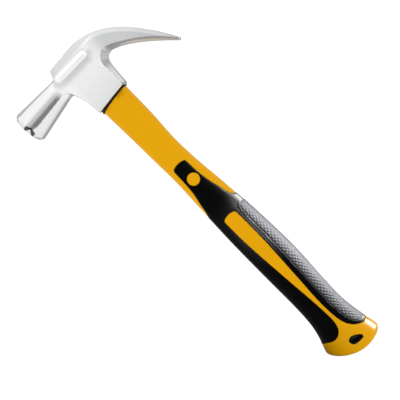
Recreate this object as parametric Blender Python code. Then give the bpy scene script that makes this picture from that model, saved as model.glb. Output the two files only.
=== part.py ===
"""Claw hammer: a forged steel head on a fibreglass-cored handle moulded in two colours.

The hammer lies on its side. The origin is the centre of the striking face, +X runs from the face
towards the claw, +Y runs up the eye towards the crown, and +Z points up, out of the upper cheek.
Units are metres. The handle leans a little from -Y, so its pieces are built in the handle's own
frame: x runs across the handle, towards the claw side, and "down" is the distance towards the butt.
"""

import math

import bmesh
import bpy
from mathutils import Vector

# Clearances
GAP = 0.0003  # between neighbouring solids
REACH = 0.020  # how far a cutter stands out of the piece it cuts
PLAN_CUTTER_HALF_HEIGHT = 0.058
SLOT_CUTTER_HALF_HEIGHT = 0.060

# Poll: an octagonal bell behind a round striking face, on the X axis
FACE_RADIUS = 0.0116
RIM_RADIUS = 0.0142
RIM_DEPTH = 0.0030
BELL_FLAT_RADIUS = 0.0141
BELL_CORNER_RADIUS = 0.0148
NECK_FLAT_RADIUS = 0.0096
NECK_CORNER_RADIUS = 0.0101
NECK_RISE = 0.0003
BELL_START = 0.0050
NECK_END = 0.0440
POLL_SIDES = 8
POLL_SEGMENTS = 32

# Cheeks, crown and skirt
CHEEK_HALF_WIDTH = 0.0125
NECK_HALF_WIDTH = 0.0098
CLAW_ROOT_HALF_WIDTH = 0.0112
CROWN_HEIGHT = 0.0156
SKIRT_FRONT = Vector((0.0509, -0.0358))
SKIRT_REAR = Vector((0.0794, -0.0349))
CROWN_BEVEL_START = 0.0105
CROWN_BEVEL_ANGLE = math.radians(20)
CROWN_BEVEL_LENGTH = 0.130
RIB_START = Vector((0.0486, 0.0059))
RIB_END = Vector((0.0754, 0.0038))
RIB_RADIUS = 0.0032
RIB_PROUD = 0.0014

# Claw: cubic Bezier outlines of its top and its underside, from the root to the tip
CLAW_TOP = ((0.0655, 0.0147), (0.0975, 0.0196), (0.1201, -0.0090), (0.1346, -0.0435))
CLAW_UNDER = ((0.0835, -0.0083), (0.0995, -0.0070), (0.1180, -0.0257), (0.1339, -0.0445))
CLAW_UNDER_LAG = 1.8  # slows the underside, so that a section stays square to the claw
CLAW_ROOT_WIDTH = 0.0113
CLAW_TIP_WIDTH = 0.0140
CLAW_SPREAD_POWER = 1.5  # how late the claw widens
CLAW_TOP_CHAMFER = 0.0030
CLAW_TOP_CHAMFER_SLOPE = 0.7
CLAW_TOP_CHAMFER_LIMIT = 0.3  # largest share of the claw's thickness
CLAW_UNDER_CHAMFER = 0.0014
CLAW_UNDER_CHAMFER_LIMIT = 0.2
CLAW_STATIONS = 18
SLOT_END = 0.0985
SLOT_END_HALF_WIDTH = 0.0010
SLOT_MOUTH = 0.1420
SLOT_MOUTH_HALF_WIDTH = 0.0052

# The handle's frame
HANDLE_ORIGIN = Vector((0.0695, -0.0036, 0.0))
HANDLE_LEAN = math.radians(-4.57)

# Handle outline: (down, x) of its front edge and its rear edge, and (down, half thickness)
FRONT_EDGE = (
    (0.030, -0.0163), (0.060, -0.0150), (0.090, -0.0140), (0.115, -0.0133), (0.145, -0.0140),
    (0.180, -0.0147), (0.215, -0.0145), (0.250, -0.0140), (0.268, -0.0148), (0.280, -0.0172),
    (0.290, -0.0210), (0.298, -0.0225), (0.315, -0.0234),
)
REAR_EDGE = (
    (0.030, 0.0111), (0.060, 0.0111), (0.088, 0.0100), (0.110, 0.0110), (0.140, 0.0140),
    (0.175, 0.0167), (0.215, 0.0183), (0.250, 0.0170), (0.268, 0.0169), (0.285, 0.0190),
    (0.300, 0.0226), (0.315, 0.0240),
)
HALF_THICKNESS = (
    (0.030, 0.0103), (0.100, 0.0100), (0.150, 0.0117), (0.215, 0.0128), (0.260, 0.0122),
    (0.290, 0.0138), (0.315, 0.0143),
)
SECTION_POWER = 2.35  # 2 is an ellipse, and more is squarer
SECTION_POINTS = 36
BUTT_END = 0.3090
BUTT_LOW_X = 0.0080
BUTT_CURVATURE = 15.8
BUTT_CURVE_START = 0.260
BUTT_EDGE_RADIUS = 0.0034
BUTT_EDGE_DEGREES = (25, 50, 72)  # where the rounded edge has a section
BUTT_CAP_SHARES = (1.0, 0.6, 0.2)  # sizes of the sections that close the butt
JACKET_TOP = 0.0360  # where the section at the seal is taken
FIRST_STATION = 0.0450
UPPER_STATIONS = 14
LOWER_STATIONS = 7

# Core rod, and the tapered eye that it stands in
CORE_CENTRE = -0.0015
CORE_HALF_WIDTH = 0.0080
CORE_HALF_THICKNESS = 0.0060
CORE_CORNER_RADIUS = 0.0035
CORE_TOP = -0.0160
CORE_END = 0.2880
EYE_CENTRE = -0.0021
EYE_TOP = -0.0180
EYE_WAIST = 0.0050
EYE_MOUTH = 0.0340
EYE_CUTTER_TOP = -0.0300
RESIN_END = 0.0305
SKIRT_CUTTER_END = 0.0450  # below the skirt
SEAL_CUTTER_END = 0.0600  # below the seal
EYE_MOUTH_HALF_SIZE = (0.0130, 0.0092)
EYE_WAIST_HALF_SIZE = (0.0116, 0.0082)
EYE_POWER = 2.2

# Seal between the skirt and the jacket: a wedge-shaped ring
SEAL_CENTRE = -0.0026
SEAL_HALF_SIZE = (0.0143, 0.0108)
SEAL_FRONT_HEIGHT = 0.0019
SEAL_REAR_HEIGHT = 0.0006

# Grip: its depth in the jacket, and its outline, as (x, down) along each smooth stretch
GRIP_DEPTH = 0.0025
OUTSIDE = 0.032  # beyond both edges of the handle
TONGUE_TOP = ((-0.0075, 0.1082), (-0.0064, 0.1060), (-0.0008, 0.1049), (0.0045, 0.1060), (0.0055, 0.1081))
TONGUE_REAR = ((0.0055, 0.1081), (0.0064, 0.1222), (0.0097, 0.1381), (0.0151, 0.1525), (OUTSIDE, 0.1530))
REAR_TOE = (
    (OUTSIDE, 0.2925), (0.0205, 0.2927), (0.0172, 0.2931), (0.0103, 0.2882), (0.0057, 0.2783),
    (0.0042, 0.2586), (0.0053, 0.2319), (0.0067, 0.1944), (0.0064, 0.1638),
)
WINDOW_TOP = ((0.0064, 0.1638), (0.0053, 0.1616), (0.0002, 0.1605), (-0.0050, 0.1616), (-0.0062, 0.1638))
FRONT_TOE = (
    (-0.0062, 0.1638), (-0.0053, 0.1895), (-0.0019, 0.2289), (0.0008, 0.2586), (0.0016, 0.2772),
    (-0.0015, 0.2856), (-0.0084, 0.2884), (-0.0178, 0.2854), (-OUTSIDE, 0.2840),
)
TONGUE_FRONT = (
    (-OUTSIDE, 0.1530), (-0.0149, 0.1515), (-0.0104, 0.1391), (-0.0080, 0.1262), (-0.0075, 0.1082),
)
BUTTON_CENTRE = (-0.0002, 0.1218)
BUTTON_RADIUS = 0.0052

# Rear pad, set into the grip's back
PAD_DEPTH = 0.0013
PAD_PROUD = 0.0002
PAD_EDGE = (
    (OUTSIDE, 0.1600), (0.0145, 0.1599), (0.0111, 0.1618), (0.0105, 0.1677), (0.0108, 0.2043),
    (0.0092, 0.2468), (0.0092, 0.2666), (0.0115, 0.2836), (0.0163, 0.2900), (OUTSIDE, 0.2900),
)

# Hang hole
HANG_HOLE = (
    (-0.0012, 0.2986), (0.0008, 0.2964), (0.0049, 0.2965), (0.0099, 0.3001), (0.0088, 0.3028),
    (0.0012, 0.3021),
)
LINER_WALL = 0.0009

FLAT_ANGLE = math.radians(0.1)  # faces that meet at less than this are one face
CURVE_STEPS = 4  # points on an outline between two of its control points


# Curves and outlines


def interpolate(points, at):
    """The value at `at` of the smooth curve through (position, value) points."""
    last = len(points) - 2
    i = max(0, min(last, sum(at >= p[0] for p in points) - 1))

    def slope(k):
        before, after = points[max(k - 1, 0)], points[min(k + 1, last + 1)]
        return (after[1] - before[1]) / (after[0] - before[0])

    (x0, y0), (x1, y1) = points[i], points[i + 1]
    span = x1 - x0
    t = max(0.0, min(1.0, (at - x0) / span))
    rise = (2 * t**3 - 3 * t**2 + 1) * y0 + (3 * t**2 - 2 * t**3) * y1
    return rise + span * ((t**3 - 2 * t**2 + t) * slope(i) + (t**3 - t**2) * slope(i + 1))


def smooth_stretch(points, steps=CURVE_STEPS):
    """Points on the Catmull-Rom curve through these 2D points, without the last one."""
    points = [Vector(p) for p in points]
    ends = [2 * points[0] - points[1], *points, 2 * points[-1] - points[-2]]
    made = []
    for a, b, c, d in zip(ends, ends[1:], ends[2:], ends[3:]):
        for k in range(steps):
            t = k / steps
            bend = (2 * a - 5 * b + 4 * c - d) * t**2 + (3 * b - a - 3 * c + d) * t**3
            made.append(0.5 * (2 * b + (c - a) * t + bend))
    return made


def bezier(points, t):
    """A point on a cubic Bezier curve."""
    a, b, c, d = (Vector(p) for p in points)
    s = 1 - t
    return s**3 * a + 3 * s * s * t * b + 3 * s * t * t * c + t**3 * d


def grown(outline, distance):
    """A closed counter-clockwise outline moved outwards by a distance."""
    made = []
    for before, here, after in zip(outline[-1:] + outline[:-1], outline, outline[1:] + outline[:1]):
        along = (here - before).normalized() + (after - here).normalized()
        along.normalize()
        made.append(here + distance * Vector((along.y, -along.x)))
    return made


def oval(half_width, half_height, power, count):
    """Points round a superellipse, counter-clockwise."""
    made = []
    for k in range(count):
        c, s = math.cos(2 * math.pi * k / count), math.sin(2 * math.pi * k / count)
        x = math.copysign(abs(c) ** (2 / power), c) * half_width
        y = math.copysign(abs(s) ** (2 / power), s) * half_height
        made.append(Vector((x, y)))
    return made


def on_handle(points):
    """(x, down) points as a counter-clockwise outline in the handle's frame."""
    made = [Vector((p[0], -p[1])) for p in points]
    area = sum(a.x * b.y - b.x * a.y for a, b in zip(made, made[1:] + made[:1]))
    return made if area > 0 else made[::-1]


# Objects


def clear_scene():
    for obj in list(bpy.data.objects):
        bpy.data.objects.remove(obj)


def collection(name):
    made = bpy.data.collections.new(name)
    bpy.context.scene.collection.children.link(made)
    return made


def material(name, colour, roughness, metallic=0.0):
    made = bpy.data.materials.new(name)
    made.use_nodes = True
    shader = made.node_tree.nodes["Principled BSDF"]
    shader.inputs["Base Color"].default_value = (*colour, 1.0)
    shader.inputs["Roughness"].default_value = roughness
    shader.inputs["Metallic"].default_value = metallic
    return made


def mesh_object(name, mesh, group, parent=None):
    obj = bpy.data.objects.new(name, mesh)
    group.objects.link(obj)
    obj.parent = parent
    if group is CUTTERS:
        obj.hide_render = True
        obj.display_type = "WIRE"
    return obj


def loft(name, rings, group, parent=None):
    """A closed solid through rings of equally many points, with a flat face on each end ring."""
    shape = bmesh.new()
    rows = [[shape.verts.new(p) for p in ring] for ring in rings]
    for low, high in zip(rows, rows[1:]):
        for k in range(len(low)):
            n = (k + 1) % len(low)
            shape.faces.new((low[k], low[n], high[n], high[k]))
    shape.faces.new(rows[0][::-1])
    shape.faces.new(rows[-1])
    bmesh.ops.recalc_face_normals(shape, faces=shape.faces)
    mesh = bpy.data.meshes.new(name)
    shape.to_mesh(mesh)
    shape.free()
    return mesh_object(name, mesh, group, parent)


def plate(name, outline, half_thickness, group, parent=None, holes=()):
    """A flat outline in the XY plane given thickness, as a mesh."""
    curve = bpy.data.curves.new(name, "CURVE")
    curve.dimensions = "2D"
    curve.fill_mode = "BOTH"
    curve.extrude = half_thickness
    for points in (outline, *holes):
        spline = curve.splines.new("POLY")
        spline.points.add(len(points) - 1)
        for point, place in zip(spline.points, points):
            point.co = (*place, 0.0, 1.0)
        spline.use_cyclic_u = True
    drawn = mesh_object(name + "_outline", curve, group)
    graph = bpy.context.evaluated_depsgraph_get()
    mesh = bpy.data.meshes.new_from_object(drawn.evaluated_get(graph))
    bpy.data.objects.remove(drawn)
    shape = bmesh.new()
    shape.from_mesh(mesh)
    bmesh.ops.remove_doubles(shape, verts=shape.verts, dist=1e-6)
    bmesh.ops.dissolve_limit(shape, angle_limit=FLAT_ANGLE, verts=shape.verts, edges=shape.edges)
    bmesh.ops.recalc_face_normals(shape, faces=shape.faces)
    shape.to_mesh(mesh)
    shape.free()
    return mesh_object(name, mesh, group, parent)


def combine(obj, other, operation):
    """Adds a Boolean modifier."""
    modifier = obj.modifiers.new(other.name, "BOOLEAN")
    modifier.operation = operation
    modifier.object = other


def finish(obj, finish_material, sharp_angle=math.radians(35)):
    """Gives a piece its material, and smooth shading with sharp edges kept."""
    obj.data.materials.clear()
    obj.data.materials.append(finish_material)
    obj.data.shade_smooth()
    obj.data.set_sharp_from_angle(angle=sharp_angle)


# Head


def poll():
    """The bell: rings on the X axis, each an octagon with its corners cut by a circle."""
    sector = 2 * math.pi / POLL_SIDES

    def ring(x, flat_radius, corner_radius):
        made = []
        for k in range(POLL_SEGMENTS):
            angle = 2 * math.pi * k / POLL_SEGMENTS
            off_flat = (angle + sector / 2) % sector - sector / 2
            radius = min(flat_radius / math.cos(off_flat), corner_radius)
            rise = NECK_RISE * x / NECK_END
            made.append((x, rise + radius * math.cos(angle), radius * math.sin(angle)))
        return made

    rings = [
        ring(0.0, FACE_RADIUS, FACE_RADIUS),
        ring(RIM_DEPTH, RIM_RADIUS, RIM_RADIUS),
        ring(BELL_START, BELL_FLAT_RADIUS, BELL_CORNER_RADIUS),
        ring(NECK_END, NECK_FLAT_RADIUS, NECK_CORNER_RADIUS),
    ]
    return loft("poll_shape", rings, CUTTERS)


def cheek_outline():
    """Side view of the crown, the cheek, the throat and the skirt, up to inside the claw's root."""
    crown = (
        (0.0481, CROWN_HEIGHT), (0.0595, CROWN_HEIGHT), (0.0695, 0.0149), (0.0795, 0.0128), (0.0895, 0.0055),
    )
    root = ((0.0895, 0.0055), (0.0925, -0.0005), (0.0910, -0.0081))
    throat = (
        (0.0910, -0.0081), (0.0877, -0.0094), (0.0840, -0.0115), (0.0821, -0.0150), (0.0811, -0.0241),
        (0.0804, -0.0337), SKIRT_REAR,
    )
    skirt = (SKIRT_REAR, SKIRT_FRONT)
    front = (
        SKIRT_FRONT, (0.0499, -0.0348), (0.0493, -0.0225), (0.0477, -0.0157), (0.0443, -0.0113),
        (0.0365, -0.0095),
    )
    neck = ((0.0365, -0.0095), (0.0365, 0.0085))
    shoulder = ((0.0365, 0.0085), (0.0425, 0.0095), (0.0459, 0.0117), (0.0481, CROWN_HEIGHT))
    stretches = (crown, root, throat, skirt, front, neck, shoulder)
    return [p for stretch in stretches for p in smooth_stretch(stretch)][::-1]


def plan_outline():
    """Top view of the head's body, as (x, z): narrow at the neck and the claw, open at the cheeks."""
    side = (
        (0.0295, NECK_HALF_WIDTH), (0.0375, NECK_HALF_WIDTH), (0.0435, 0.0114), (0.0495, 0.0135),
        (0.0635, 0.0140), (0.0775, 0.0135), (0.0875, 0.0117), (0.0995, CLAW_ROOT_HALF_WIDTH),
    )
    upper = smooth_stretch(side) + [Vector(side[-1])]
    return [Vector((p.x, -p.y)) for p in upper] + upper[::-1]


def claw():
    """A chamfered bar from inside the cheeks to the tip, widening and thinning as it goes."""
    rings = []
    for k in range(CLAW_STATIONS + 1):
        t = k / CLAW_STATIONS
        top, under = bezier(CLAW_TOP, t), bezier(CLAW_UNDER, t**CLAW_UNDER_LAG)
        height = (top - under).length
        half = CLAW_ROOT_WIDTH + (CLAW_TIP_WIDTH - CLAW_ROOT_WIDTH) * t**CLAW_SPREAD_POWER
        high = min(CLAW_TOP_CHAMFER, CLAW_TOP_CHAMFER_LIMIT * height)
        low = min(CLAW_UNDER_CHAMFER, CLAW_UNDER_CHAMFER_LIMIT * height)
        edge = half - CLAW_TOP_CHAMFER_SLOPE * high
        section = (
            (half - low, 0), (half, low), (half, height - high), (edge, height),
            (-edge, height), (-half, height - high), (-half, low), (low - half, 0),
        )
        up = (top - under).normalized()
        rings.append([(*(under + up * h), z) for z, h in section])
    return loft("claw_shape", rings, CUTTERS)


def claw_slot():
    """The nail slot: a V in top view, cut straight down through the claw."""
    end = []
    for k in range(9):
        angle = math.pi / 2 + math.pi * k / 8
        end.append(Vector((SLOT_END, 0)) + SLOT_END_HALF_WIDTH * Vector((math.cos(angle), math.sin(angle))))
    outline = [Vector((SLOT_MOUTH, SLOT_MOUTH_HALF_WIDTH)), *end, Vector((SLOT_MOUTH, -SLOT_MOUTH_HALF_WIDTH))]
    slot = plate("claw_slot_cutter", outline, SLOT_CUTTER_HALF_HEIGHT, CUTTERS)
    slot.rotation_euler.x = math.pi / 2
    return slot


def crown_bevel(side):
    """A block that slopes the cheek inwards above CROWN_BEVEL_START."""
    low, high = sorted((0.0, side * REACH))
    corners = ((0.0, low), (REACH, low), (REACH, high), (0.0, high))
    rings = [[(x, y, z) for y, z in corners] for x in (0.0, CROWN_BEVEL_LENGTH)]
    block = loft(f"crown_bevel_{'upper' if side > 0 else 'lower'}", rings, CUTTERS)
    block.location = (0.0, CROWN_BEVEL_START, side * CHEEK_HALF_WIDTH)
    block.rotation_euler.x = -side * CROWN_BEVEL_ANGLE
    return block


def cheek_rib(side):
    """A raised bar with round ends, half sunk in the cheek."""
    length = (RIB_END - RIB_START).length
    shape = bmesh.new()
    bmesh.ops.create_uvsphere(shape, u_segments=16, v_segments=8, radius=RIB_RADIUS)
    for vertex in shape.verts:
        along = vertex.co.z
        vertex.co = Vector((along, vertex.co.y, -vertex.co.x))
        if along > GAP:
            vertex.co.x += length
    mesh = bpy.data.meshes.new("cheek_rib")
    shape.to_mesh(mesh)
    shape.free()
    rib = mesh_object(f"cheek_rib_{'upper' if side > 0 else 'lower'}", mesh, CUTTERS)
    rib.location = (*RIB_START, side * (CHEEK_HALF_WIDTH + RIB_PROUD - RIB_RADIUS))
    rib.rotation_euler.z = math.atan2(RIB_END.y - RIB_START.y, RIB_END.x - RIB_START.x)
    return rib


def eye_shape(name, inset, top, bottom, group):
    """The tapered eye, in the handle's frame, between two distances down the handle."""
    rings = []
    for down in (top, EYE_WAIST, bottom):
        share = (down - EYE_WAIST) / ((EYE_TOP if down < EYE_WAIST else EYE_MOUTH) - EYE_WAIST)
        half = [w + (m - w) * share - inset for w, m in zip(EYE_WAIST_HALF_SIZE, EYE_MOUTH_HALF_SIZE)]
        rings.append([(EYE_CENTRE + p.x, -down, p.y) for p in oval(*half, EYE_POWER, SECTION_POINTS)])
    return loft(name, rings, group, HANDLE)


def head():
    body = plate("head", cheek_outline(), CHEEK_HALF_WIDTH, PARTS)
    plan = plate("head_plan", plan_outline(), PLAN_CUTTER_HALF_HEIGHT, CUTTERS)
    plan.rotation_euler.x = math.pi / 2
    combine(body, plan, "INTERSECT")
    for side in (1, -1):
        combine(body, crown_bevel(side), "DIFFERENCE")
    combine(body, claw(), "UNION")
    combine(body, poll(), "UNION")
    for side in (1, -1):
        combine(body, cheek_rib(side), "UNION")
    combine(body, claw_slot(), "DIFFERENCE")
    combine(body, eye_shape("eye_cutter", 0.0, EYE_CUTTER_TOP, SKIRT_CUTTER_END, CUTTERS), "DIFFERENCE")
    finish(body, material("satin_steel", (0.80, 0.81, 0.82), 0.35, 1.0))


# Handle


def handle_ring(down, inset=0.0, butt_share=None):
    """One section of the handle. Towards the butt the sections bow, to follow its rounded end."""
    if butt_share is None:
        t = max(0.0, min(1.0, (down - BUTT_CURVE_START) / (BUTT_END - BUTT_CURVE_START)))
        butt_share = t * t * (3 - 2 * t)

    def place(x):
        return down - butt_share * BUTT_CURVATURE * (x - BUTT_LOW_X) ** 2

    front = interpolate(FRONT_EDGE, down)
    rear = interpolate(REAR_EDGE, down)
    for _ in range(4):
        front, rear = interpolate(FRONT_EDGE, place(front)), interpolate(REAR_EDGE, place(rear))
    half_width = (rear - front) / 2 - inset
    half_thickness = interpolate(HALF_THICKNESS, down) - inset
    made = []
    for p in oval(half_width, half_thickness, SECTION_POWER, SECTION_POINTS):
        x = (front + rear) / 2 + p.x
        made.append(Vector((x, -place(x), p.y)))
    return made


def skirt_line(x):
    """How far down the handle the skirt's lower face is, at an x of the handle's frame."""
    slope = (SKIRT_REAR.y - SKIRT_FRONT.y) / (SKIRT_REAR.x - SKIRT_FRONT.x)
    across, rise = math.cos(HANDLE_LEAN), math.sin(HANDLE_LEAN)
    level = SKIRT_FRONT.y + slope * (HANDLE_ORIGIN.x + x * across - SKIRT_FRONT.x)
    return (HANDLE_ORIGIN.y + x * rise - level) / (across + slope * rise)


def seal_bottom(x):
    """How far down the handle the seal's lower face is."""
    share = (x - SEAL_CENTRE + SEAL_HALF_SIZE[0]) / (2 * SEAL_HALF_SIZE[0])
    height = SEAL_FRONT_HEIGHT + (SEAL_REAR_HEIGHT - SEAL_FRONT_HEIGHT) * share
    return skirt_line(x) + GAP + height


def butt_rings():
    """Sections that round the butt's edge over and close its end."""
    rings = []
    for degrees in BUTT_EDGE_DEGREES:
        angle = math.radians(degrees)
        inset = BUTT_EDGE_RADIUS * (1 - math.cos(angle))
        rings.append(handle_ring(BUTT_END - BUTT_EDGE_RADIUS * (1 - math.sin(angle)), inset, 1.0))
    last = handle_ring(BUTT_END, BUTT_EDGE_RADIUS, 1.0)
    centre = sum(last, Vector()) / len(last)
    for share in BUTT_CAP_SHARES:
        ring = []
        for p in last:
            x = centre.x + (p.x - centre.x) * share
            ring.append(Vector((x, -(BUTT_END - BUTT_CURVATURE * (x - BUTT_LOW_X) ** 2), p.z * share)))
        rings.append(ring)
    return rings


def handle_stations():
    """Distances down the handle, closer together towards the butt."""
    upper = BUTT_CURVE_START - FIRST_STATION
    lower = BUTT_END - BUTT_EDGE_RADIUS - BUTT_CURVE_START
    made = [FIRST_STATION + upper * k / UPPER_STATIONS for k in range(UPPER_STATIONS)]
    return made + [BUTT_CURVE_START + lower * k / LOWER_STATIONS for k in range(LOWER_STATIONS + 1)]


def envelope(name, group, proud=0.0):
    """The handle's outer shape, from the seal to the butt."""
    first = [Vector((p.x, -(seal_bottom(p.x) + GAP), p.z)) for p in handle_ring(JACKET_TOP, -proud)]
    rings = [first] + [handle_ring(down, -proud) for down in handle_stations()] + butt_rings()
    return loft(name, rings, group, HANDLE)


def inner_form(name, inset):
    """The handle's shape shrunk by an inset, over the grip's length."""
    stations = [down for down in handle_stations() if down < BUTT_END - 2 * BUTT_EDGE_RADIUS]
    return loft(name, [handle_ring(down, inset) for down in stations], CUTTERS, HANDLE)


def grip_outline():
    stretches = (TONGUE_TOP, TONGUE_REAR, REAR_TOE, WINDOW_TOP, FRONT_TOE, TONGUE_FRONT)
    return on_handle([p for stretch in stretches for p in smooth_stretch(stretch)])


def button_outline(radius):
    turn = [2 * math.pi * k / 24 for k in range(24)]
    centre = Vector(BUTTON_CENTRE)
    return on_handle([centre + radius * Vector((math.cos(a), math.sin(a))) for a in turn])


def core_outline(clearance=0.0):
    """Section of the core rod, as (x, z): a rectangle with round corners."""
    made = []
    for quarter, (sx, sz) in enumerate(((1, 1), (-1, 1), (-1, -1), (1, -1))):
        corner = Vector((
            CORE_CENTRE + sx * (CORE_HALF_WIDTH - CORE_CORNER_RADIUS),
            sz * (CORE_HALF_THICKNESS - CORE_CORNER_RADIUS),
        ))
        for k in range(5):
            angle = math.pi / 2 * (quarter + k / 4)
            reach = CORE_CORNER_RADIUS + clearance
            made.append(corner + reach * Vector((math.cos(angle), math.sin(angle))))
    return made


def core_shape(name, top, bottom, group, clearance=0.0):
    rings = [[(p.x, -down, p.y) for p in core_outline(clearance)] for down in (top, bottom)]
    return loft(name, rings, group, HANDLE)


def core_rod():
    rod = core_shape("core_rod", CORE_TOP, CORE_END, PARTS)
    finish(rod, material("fibreglass", (0.75, 0.70, 0.52), 0.45))


def eye_resin():
    """Cured resin between the eye and the rod, closed over the rod's top."""
    resin = eye_shape("eye_resin", GAP, EYE_TOP, RESIN_END, PARTS)
    pocket = core_shape("rod_pocket_cutter", CORE_TOP - GAP, SKIRT_CUTTER_END, CUTTERS, GAP)
    combine(resin, pocket, "DIFFERENCE")
    finish(resin, material("black_resin", (0.03, 0.03, 0.03), 0.35))


def neck_seal():
    section = [Vector((SEAL_CENTRE + p.x, p.y)) for p in oval(*SEAL_HALF_SIZE, EYE_POWER, SECTION_POINTS)]
    top = [(p.x, -(skirt_line(p.x) + GAP), p.y) for p in section]
    bottom = [(p.x, -seal_bottom(p.x), p.y) for p in section]
    seal = loft("neck_seal", [top, bottom], PARTS, HANDLE)
    combine(seal, core_shape("seal_hole_cutter", 0.0, SEAL_CUTTER_END, CUTTERS, GAP), "DIFFERENCE")
    finish(seal, material("black_seal", (0.01, 0.01, 0.01), 0.5))


def recess(name, outline, depth, holes=()):
    """A cutter for a recess of one depth, under an outline drawn on both sides of the handle."""
    block = plate(name, outline, REACH, CUTTERS, HANDLE, holes=holes)
    combine(block, inner_form(name + "_floor", depth), "DIFFERENCE")
    return block


def handle_jacket():
    jacket = envelope("handle_jacket", PARTS)
    holes = [button_outline(BUTTON_RADIUS)]
    combine(jacket, recess("grip_recess", grown(grip_outline(), GAP), GRIP_DEPTH + GAP, holes), "DIFFERENCE")
    combine(jacket, core_shape("core_bore_cutter", 0.0, CORE_END + GAP, CUTTERS, GAP), "DIFFERENCE")
    hole = plate("hang_hole_cutter", grown(hang_hole_outline(), GAP), REACH, CUTTERS, HANDLE)
    combine(jacket, hole, "DIFFERENCE")
    finish(jacket, material("yellow_polypropylene", (0.80, 0.38, 0.0), 0.35))


def grip_overmould():
    grip = envelope("grip_overmould", PARTS)
    holes = [button_outline(BUTTON_RADIUS + GAP)]
    combine(grip, plate("grip_region", grip_outline(), REACH, CUTTERS, HANDLE, holes=holes), "INTERSECT")
    combine(grip, inner_form("grip_lining", GRIP_DEPTH), "DIFFERENCE")
    combine(grip, recess("pad_recess", grown(pad_outline(), GAP), PAD_DEPTH + GAP), "DIFFERENCE")
    finish(grip, material("black_rubber", (0.01, 0.01, 0.01), 0.55))


def pad_outline():
    return on_handle(smooth_stretch(PAD_EDGE) + [Vector(PAD_EDGE[-1])])


def rear_pad():
    pad = envelope("rear_pad", PARTS, PAD_PROUD)
    combine(pad, plate("pad_region", pad_outline(), REACH, CUTTERS, HANDLE), "INTERSECT")
    combine(pad, inner_form("pad_lining", PAD_DEPTH), "DIFFERENCE")
    finish(pad, material("textured_rubber", (0.02, 0.02, 0.02), 0.7))


def hang_hole_outline():
    closed = HANG_HOLE[-1:] + HANG_HOLE + HANG_HOLE[:2]
    return on_handle(smooth_stretch(closed)[CURVE_STEPS:-CURVE_STEPS])


def hang_hole_liner():
    outline = hang_hole_outline()
    liner = envelope("hang_hole_liner", PARTS)
    ring = plate("liner_region", outline, REACH, CUTTERS, HANDLE, holes=[grown(outline, -LINER_WALL)])
    combine(liner, ring, "INTERSECT")
    finish(liner, material("black_liner", (0.01, 0.01, 0.01), 0.6))


clear_scene()
PARTS = collection("claw_hammer")
CUTTERS = collection("cutters")
HANDLE = bpy.data.objects.new("handle_axis", None)
PARTS.objects.link(HANDLE)
HANDLE.location = HANDLE_ORIGIN
HANDLE.rotation_euler.z = HANDLE_LEAN

head()
core_rod()
eye_resin()
neck_seal()
handle_jacket()
grip_overmould()
rear_pad()
hang_hole_liner()
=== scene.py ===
"""Studio scene of the claw hammer: the looks of each piece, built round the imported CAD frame.

The origin is the centre of the striking face, +X runs towards the claw, +Y towards the crown, and
+Z out of the upper cheek. The head is a distance field in millimetres. The handle's pieces are in
metres in the handle's own frame, which comes from the CAD's core rod: x runs across the handle,
towards the claw side, and "down" is the distance towards the butt.
"""

import math

import bmesh
import bpy
import numpy as np
from mathutils import Matrix, Vector


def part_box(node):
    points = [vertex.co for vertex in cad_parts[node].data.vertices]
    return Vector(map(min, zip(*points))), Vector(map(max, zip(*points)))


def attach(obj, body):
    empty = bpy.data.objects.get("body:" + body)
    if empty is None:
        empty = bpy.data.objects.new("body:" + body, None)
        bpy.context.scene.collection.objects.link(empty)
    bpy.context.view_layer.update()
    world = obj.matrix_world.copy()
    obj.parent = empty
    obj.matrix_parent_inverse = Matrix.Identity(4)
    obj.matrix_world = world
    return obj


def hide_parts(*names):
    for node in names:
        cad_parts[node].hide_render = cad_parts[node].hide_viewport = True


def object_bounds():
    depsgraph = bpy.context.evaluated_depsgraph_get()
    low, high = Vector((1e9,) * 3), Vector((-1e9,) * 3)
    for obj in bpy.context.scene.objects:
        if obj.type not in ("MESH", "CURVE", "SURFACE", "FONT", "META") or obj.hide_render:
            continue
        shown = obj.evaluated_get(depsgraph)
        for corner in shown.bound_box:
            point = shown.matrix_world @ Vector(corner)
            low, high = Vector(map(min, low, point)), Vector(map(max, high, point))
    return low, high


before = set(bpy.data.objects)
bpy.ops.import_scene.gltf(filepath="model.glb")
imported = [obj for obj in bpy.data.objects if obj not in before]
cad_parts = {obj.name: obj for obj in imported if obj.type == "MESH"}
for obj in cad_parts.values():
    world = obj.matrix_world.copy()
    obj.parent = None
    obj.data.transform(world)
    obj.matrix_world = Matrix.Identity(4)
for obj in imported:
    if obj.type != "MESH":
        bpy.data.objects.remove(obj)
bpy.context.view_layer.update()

MM = 0.001
WELD_DISTANCE = 1e-6
SHARP_ANGLE = math.radians(40)  # edges sharper than this are not smoothed over

# ---- Head, in millimetres ----

FIELD_STEP = 0.5
FIELD_MARGIN = 1.5
HEAD_SHARP_ANGLE = math.radians(60)
SURFACE_FIT_STEPS = 5
SURFACE_FIT_REACH = 0.3  # in grid steps

# Poll: flats towards +-Y and +-Z, diagonal flats between them, and a round rim and face
FACE_RADIUS = 11.8
RIM_RADIUS = 14.5
RIM_DEPTH = 2.8
BELL = (4.0, 14.3, 5.8)  # x, and there the flats' distance from the axis and their half width
NECK = (44.0, 9.6, 4.6)
FLAT_CURVE_RADIUS = 22.0  # the flats bulge a little
SIDE_CURVE_RADIUS = 12.0  # and those towards +-Y more
NECK_END = 50.0
BELL_EDGE_RADIUS = 0.4
RIM_EDGE_RADIUS = 0.5
POLL_RISE = 0.3
NECK_RISE = 0.3

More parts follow.
